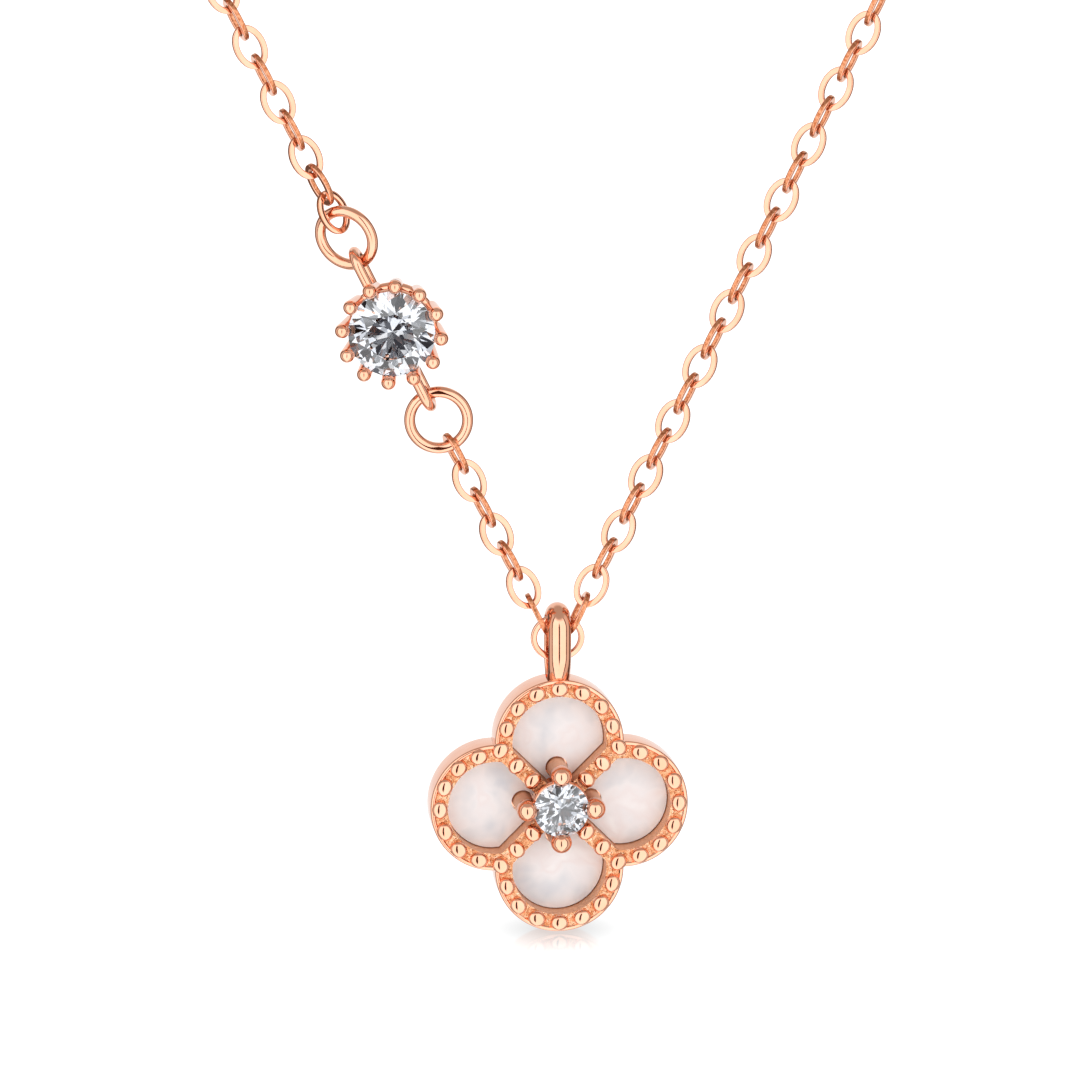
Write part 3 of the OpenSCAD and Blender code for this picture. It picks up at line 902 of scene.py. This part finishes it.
def frame_body():
    """The plate with a rounded outer lip and a lowered ground inside it."""
    steps = np.radians(np.linspace(0, 90, LIP_STEPS))
    rows = [(PETAL_RADIUS - LIP_ROUND * (1 - math.sin(s)), LIP_ROUND * (1 - math.cos(s))) for s in steps]
    rows += [
        (PETAL_RADIUS - LIP_ROUND * (1 - math.cos(s)), FRAME_THICKNESS - LIP_ROUND * (1 - math.sin(s)))
        for s in steps
    ]
    inner = PETAL_RADIUS - LIP_ROUND - LIP_WIDTH / 3
    rows += [(inner, FRAME_THICKNESS), (inner - GROUND_DEPTH, FRAME_THICKNESS - GROUND_DEPTH)]
    sections = []
    for radius, height in rows:
        outline = petal_outline(radius)
        sections.append(np.column_stack((outline, np.full(len(outline), height))))
    return loft(sections)


def cell_outline():
    """One cell, in the petal towards +Y: a circle cut off by the edges of the two bars."""
    radius = PETAL_RADIUS - RIM_WIDTH
    bar = BAR_WIDTH / 2 * math.sqrt(2)
    reach = math.sqrt(2 * radius ** 2 - (PETAL_RADIUS - bar) ** 2)
    outer = (PETAL_RADIUS - bar + reach) / 2
    inner = (PETAL_RADIUS - bar - reach) / 2
    start = math.degrees(math.atan2(outer + bar - PETAL_RADIUS, outer))
    low = math.degrees(math.atan2(PETAL_RADIUS - inner - bar, inner))
    top = arc((0, PETAL_RADIUS), radius, start, 180 - start, CELL_POINTS)
    bottom = arc((0, PETAL_RADIUS), radius, low - 180, -low, CELL_CORNER_POINTS)
    return np.vstack((top, bottom))


def bead(along, across, rise):
    """A cushion-shaped bead, longer along the rim, which goes on below the ground."""
    steps = np.radians(np.linspace(BEAD_FOOT, POLE, BEAD_ROWS))
    rows = [
        (math.cos(s) ** BEAD_FULLNESS, math.copysign(abs(math.sin(s)) ** BEAD_FULLNESS, s)) for s in steps
    ]
    points, faces = revolved(rows, BEAD_AROUND)
    return points * np.array([along, across, rise]), faces


def beads():
    ground_height = FRAME_THICKNESS - GROUND_DEPTH
    one = moved(bead(BEAD_ALONG, BEAD_ACROSS, BEAD_RISE + GROUND_DEPTH), (0, 0, ground_height))
    shells = []
    for q in range(4):
        for k in range(BEADS_ON_PETAL):
            angle = (k - (BEADS_ON_PETAL - 1) / 2) * BEAD_STEP
            on_rim = turned(moved(one, (0, BEAD_RING, 0)), angle)
            shells.append(turned(moved(on_rim, (0, PETAL_RADIUS, 0)), 90 * q))
        for distance in DIAGONAL_BEADS:
            shells.append(turned(moved(one, (0, distance, 0)), 90 * q + 45))
    return shells


def prong():
    """A straight prong with a domed head a little wider than its shaft."""
    r = PRONG_DIAMETER / 2
    dome = PRONG_TOP - r
    shaft = r - PRONG_NARROWING
    steps = np.radians(np.linspace(0, POLE, DOME_ROWS))
    profile = [(shaft, PLATE_THICKNESS / 2), (shaft, dome - PRONG_NECK), (r, dome - PRONG_SHOULDER)]
    profile += [(r * math.cos(s), dome + r * math.sin(s)) for s in steps]
    return moved(revolved(profile, PRONG_AROUND), (0, PRONG_RING, 0))


def bail_section():
    """Half-round wire with soft edges: (sideways, outwards) from the middle of its flat inner face."""
    radius = BAIL_WIDTH / 2
    crown = arc(
        (0, BAIL_WIRE - radius), radius, BAIL_CROWN_START, 180 - BAIL_CROWN_START, BAIL_CROWN_POINTS,
    )
    corner = crown[0][0] - BAIL_EDGE
    left = arc((-corner, BAIL_EDGE), BAIL_EDGE, 180, 270, BAIL_EDGE_POINTS)
    right = arc((corner, BAIL_EDGE), BAIL_EDGE, 270, 360, BAIL_EDGE_POINTS)
    return np.vstack((crown, left, right))


def bail():
    """A tall hoop of half-round wire, flat inside, whose two legs bend inwards onto the top of the rim."""
    section = bail_section()
    top = BAIL_TOP - BAIL_INNER - BAIL_WIRE
    bend_middle = BAIL_INNER - BAIL_BEND
    bend = np.linspace(0, BAIL_BEND_DEGREES, BAIL_BEND_ROWS)
    front_leg = [(bend_middle, BAIL_BEND_START, BAIL_BEND, a) for a in -bend[::-1]]
    bow = [(0, top, BAIL_INNER, a) for a in np.linspace(0, 180, BAIL_BOW_ROWS)]
    rear_leg = [(-bend_middle, BAIL_BEND_START, BAIL_BEND, a) for a in 180 + bend]
    rows = []
    for outwards, height, radius, degrees in front_leg + bow + rear_leg:
        a = math.radians(degrees)
        reach = radius + section[:, 1]
        rows.append(np.column_stack((
            section[:, 0], height + reach * math.sin(a), outwards + reach * math.cos(a),
        )))
    return moved(loft(rows), (0, 0, FLOWER_BACK_Y - FRONT_Y))


def mark_finishes(obj):
    """Gives the ground round the beads its cast finish, and the cells' walls and the prongs' shafts satin
    with painted shade.
    """
    play = 0.01
    side_on_limit = 0.3
    facing_limit = -0.9
    cell_radius = PETAL_RADIUS - RIM_WIDTH
    below_dome = 0.25
    shaft_top = PRONG_TOP - PRONG_DIAMETER / 2 - below_dome
    for face in obj.data.polygons:
        x = face.center[0] / MM
        y = face.center[2] / MM - FLOWER_Z
        height = FLOWER_BACK_Y - face.center[1] / MM
        side_on = abs(face.normal[1]) < side_on_limit
        from_cell = math.hypot(max(abs(x), abs(y)) - PETAL_RADIUS, min(abs(x), abs(y)))
        in_cell = PLATE_THICKNESS - play < height < FRAME_THICKNESS and from_cell < cell_radius + play
        from_prong = math.hypot(max(abs(x), abs(y)) - PRONG_RING, min(abs(x), abs(y)))
        on_shaft = height < shaft_top and from_prong < PRONG_DIAMETER / 2 + play
        on_ground = abs(height - FRAME_THICKNESS + GROUND_DEPTH) < play
        if on_ground and face.normal[1] < facing_limit:
            face.material_index = 1
        elif side_on and (in_cell or on_shaft):
            face.material_index = 2


def add_flower():
    body = joined("flower", [placed(frame_body(), FLOWER_PLACE)])
    pocket = extruded(cell_outline(), PLATE_THICKNESS, FRAME_THICKNESS + 1)
    pockets = joined("pockets", [placed(turned(pocket, 90 * q), FLOWER_PLACE) for q in range(4)])
    combine(body, [pockets], "DIFFERENCE")
    gallery = moved(torus(GALLERY_RING, GALLERY_WIRE), (0, 0, CENTRE_GIRDLE - GALLERY_DROP))
    raised = [
        joined("beads", [placed(shell, FLOWER_PLACE) for shell in beads()]),
        joined("prongs", [placed(turned(prong(), 90 * q), FLOWER_PLACE) for q in range(4)]),
        joined("gallery", [placed(gallery, FLOWER_PLACE)]),
        joined("bail", [placed(bail(), FLOWER_PLACE)]),
    ]
    combine(body, raised, "UNION")
    seat = joined("seat", [placed(stone_seat(CENTRE_STONE, CENTRE_GIRDLE), FLOWER_PLACE)])
    combine(body, [seat], "DIFFERENCE")
    smooth(body, CAST_SHARP)
    dress(body, "fine_flower_frame", "pendant", "rose_gold", [gold, ground, satin_and_shaded], "flower_frame")
    mark_finishes(body)
    place = turned_place(FLOWER_PLACE, CENTRE_STONE_TURN, CENTRE_GIRDLE)
    stone = brilliant("cut_centre_stone", CENTRE_STONE, place)
    dress(stone, "cut_centre_stone", "pendant", "cubic_zirconia", [zirconia], "centre_stone")
    for node in ("shell_top", "shell_left", "shell_bottom", "shell_right"):
        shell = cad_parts[node]
        shell.data.materials.clear()
        shell.data.materials.append(pearl)


# Station
def station_prong():
    """The leaning shaft of a prong, up to the middle of its round head."""
    path = np.column_stack((
        np.zeros(SHAFT_ROWS),
        np.linspace(FOOT_RING, HEAD_RING, SHAFT_ROWS),
        np.linspace(BASE_WIRE / 2, HEAD_HEIGHT, SHAFT_ROWS),
    ))
    return swept(path, np.full(SHAFT_ROWS, SHAFT_WIRE), across=SHAFT_ACROSS, side=(1, 0, 0))


def station_head():
    turns = np.radians(np.linspace(-POLE, POLE, HEAD_ROWS))
    ball = revolved([(HEAD_RADIUS * math.cos(s), HEAD_RADIUS * math.sin(s)) for s in turns], HEAD_AROUND)
    return moved(ball, (0, HEAD_RING, HEAD_HEIGHT))


def station_loop():
    end = LOOP_REACH - LOOP_WIRE / 2 - LOOP_HALF
    legs = np.linspace(LOOP_START, end, LOOP_LEG_ROWS + 1)[:-1]
    front = np.column_stack((legs, np.full(LOOP_LEG_ROWS, LOOP_HALF)))
    bend = arc((end, 0), LOOP_HALF, 90, -90, LOOP_BEND_ROWS)
    rear = np.column_stack((legs[::-1], np.full(LOOP_LEG_ROWS, -LOOP_HALF)))
    plane = np.vstack((front, bend, rear))
    path = np.column_stack((np.zeros(len(plane)), plane[:, 0], STATION_DEPTH + plane[:, 1]))
    return swept(path, np.full(len(path), LOOP_WIRE), side=(1, 0, 0))


def add_station():
    origin, x, y, z = arm_place(-1, STATION_AT, STATION_ROLL)
    place = (origin - STATION_DEPTH * z, x, y, z)
    body = joined("station", [placed(moved(torus(BASE_RING, BASE_WIRE), (0, 0, BASE_WIRE / 2)), place)])
    step = 360 / STATION_PRONGS
    seat_ring = moved(torus(SEAT_RING, SEAT_WIRE), (0, 0, STATION_GIRDLE - SEAT_RING_DROP))
    parts = [
        joined("prongs", [placed(turned(station_prong(), k * step), place) for k in range(STATION_PRONGS)]),
        joined("heads", [placed(turned(station_head(), k * step), place) for k in range(STATION_PRONGS)]),
        joined("seat_ring", [placed(seat_ring, place)]),
        joined("loops", [placed(turned(station_loop(), 180 * k), place) for k in range(2)]),
    ]
    combine(body, parts, "UNION")
    seat = joined("seat", [placed(stone_seat(STATION_STONE, STATION_GIRDLE), place)])
    combine(body, [seat], "DIFFERENCE")
    smooth(body, CAST_SHARP)
    dress(body, "fine_station_setting", "chain", "rose_gold", [gold], "station_setting")
    seat_place = turned_place(place, STATION_STONE_TURN, STATION_GIRDLE)
    stone = brilliant("cut_station_stone", STATION_STONE, seat_place)
    dress(stone, "cut_station_stone", "chain", "cubic_zirconia", [zirconia], "station_stone")


# Clasp
def add_clasp():
    straight = CLASP_LENGTH / 2 - CLASP_HEIGHT / 2
    mid = CLASP_HEIGHT / 2 - CLASP_WIRE / 2
    outline = np.vstack((
        arc((straight, 0), mid, -90, 90, CLASP_BOW_POINTS),
        arc((-straight, 0), mid, 90, 270, CLASP_BOW_POINTS),
    ))
    path = np.column_stack((outline, np.zeros(len(outline))))
    flat = (np.array([0, CLASP_WIRE / 2, 0]), np.array([1, 0, 0]), np.array([0, 0, 1]), np.array([0, -1, 0]))
    oval = swept(path, np.full(len(path), CLASP_WIRE), closed=True)
    clasp = joined("clasp_oval", [placed(oval, flat)])
    eye = joined("eye", [placed(moved(torus(EYE_MID, EYE_WIRE), (EYE_X, 0, 0)), flat)])
    combine(clasp, [eye], "UNION")
    smooth(clasp, CAST_SHARP)
    dress(clasp, "fine_clasp", "chain", "rose_gold", [gold], "clasp")
    ring = joined("ring", [moved(torus(END_RING_MID, END_RING_WIRE), (END_RING_X, CLASP_WIRE / 2, 0))])
    smooth(ring, WIRE_SHARP)
    dress(ring, "fine_end_ring", "chain", "rose_gold", [gold], "end_ring")


# Studio
def add_table():
    """A glowing table just under the flower, painted dimmer as shade round the flower's foot."""
    low = cad_low[2] / MM - TABLE_GAP
    corners = [(TABLE_HALF * x, TABLE_HALF * y, low) for x, y in ((-1, -1), (1, -1), (1, 1), (-1, 1))]
    table = new_object("table", corners, [(0, 1, 2, 3)])
    table.data.materials.append(white_acrylic_painted_glow())
    table.visible_glossy = False
    table.visible_transmission = False


def tent_colour(tree, direction):
    """The tent by the angle from the camera's side: a gap, a white panel, a seam, a grey panel, a dark one
    and a pale back, under a grey top."""
    across = add(tree, "ShaderNodeVectorMath", {0: direction, 1: camera_right}, operation="DOT_PRODUCT")
    ahead = add(tree, "ShaderNodeVectorMath", {
        0: direction, 1: look_from(CAMERA_AZIMUTH, 0),
    }, operation="DOT_PRODUCT")
    angle = add(tree, "ShaderNodeMath", {
        0: across.outputs["Value"], 1: ahead.outputs["Value"],
    }, operation="ARCTAN2")
    away = add(tree, "ShaderNodeMath", {0: angle.outputs["Value"]}, operation="ABSOLUTE")
    share = add(tree, "ShaderNodeMath", {0: away.outputs["Value"], 1: math.pi}, operation="DIVIDE")
    height = add(tree, "ShaderNodeSeparateXYZ", {"Vector": direction}).outputs["Z"]
    steepness = add(tree, "ShaderNodeMath", {0: height}, operation="ABSOLUTE")
    closing = add(tree, "ShaderNodeMapRange", {
        "Value": steepness.outputs["Value"], "From Min": GAP_CLOSES_FROM, "From Max": GAP_CLOSED,
        "To Max": GAP_CLOSES,
    }, interpolation_type="SMOOTHSTEP")
    place = add(tree, "ShaderNodeMath", {0: share.outputs["Value"], 1: closing.outputs["Result"]})
    panels = add(tree, "ShaderNodeValToRGB", {"Fac": place.outputs["Value"]}, [
        (degrees / 180, colour) for degrees, colour in TENT_PANELS
    ])
    overhead = add(tree, "ShaderNodeMapRange", {
        "Value": height, "From Min": TOP_FROM, "From Max": TOP_WHOLE,
    }, interpolation_type="SMOOTHSTEP")
    return add(tree, "ShaderNodeMix", {
        "Factor": overhead.outputs["Result"],
        MIX_FIRST: panels.outputs["Color"], MIX_SECOND: linear(TENT_TOP),
    }, data_type="RGBA").outputs[MIX_RESULT]


def gem_colour(tree, direction):
    """What the stones gather: the tent's many bright and dark folds, and the dark camera among them."""
    folds = add(tree, "ShaderNodeTexVoronoi", {
        "Vector": direction, "W": GEM_PANEL_TURN, "Scale": GEM_PANEL_DENSITY,
    }, voronoi_dimensions="4D")
    shade = add(tree, "ShaderNodeSeparateColor", {"Color": folds.outputs["Color"]})
    panels = add(tree, "ShaderNodeValToRGB", {"Fac": shade.outputs["Red"]}, GEM_PANELS)
    panels.color_ramp.interpolation = "CONSTANT"
    towards = add(tree, "ShaderNodeVectorMath", {
        0: direction, 1: look_from(CAMERA_AZIMUTH, CAMERA_ELEVATION),
    }, operation="DOT_PRODUCT")
    camera = add(tree, "ShaderNodeValToRGB", {"Fac": towards.outputs["Value"]}, CAMERA_SHADE)
    return add(tree, "ShaderNodeMix", {
        "Factor": 1.0, MIX_FIRST: panels.outputs["Color"], MIX_SECOND: camera.outputs["Color"],
    }, data_type="RGBA", blend_type="MULTIPLY").outputs[MIX_RESULT]


def add_room():
    world = bpy.data.worlds.new("tent")
    bpy.context.scene.world = world
    world.use_nodes = True
    tree = world.node_tree
    tree.nodes.clear()
    ray = add(tree, "ShaderNodeLightPath").outputs
    strength = add(tree, "ShaderNodeMapRange", {
        "Value": ray["Is Diffuse Ray"], "To Min": TENT_GLOSS, "To Max": TENT_LIGHT,
    })
    direction = add(tree, "ShaderNodeTexCoord").outputs["Generated"]
    colour = add(tree, "ShaderNodeMix", {
        "Factor": ray["Is Transmission Ray"],
        MIX_FIRST: tent_colour(tree, direction), MIX_SECOND: gem_colour(tree, direction),
    }, data_type="RGBA")
    background = add(tree, "ShaderNodeBackground", {
        "Color": colour.outputs[MIX_RESULT], "Strength": strength.outputs["Result"],
    })
    add(tree, "ShaderNodeOutputWorld", {"Surface": background.outputs["Background"]})


add_near_chains()
add_far_chains()
add_jump_rings()
add_flower()
add_station()
add_clasp()
add_table()
add_room()
bpy.context.scene.view_settings.view_transform = "Standard"
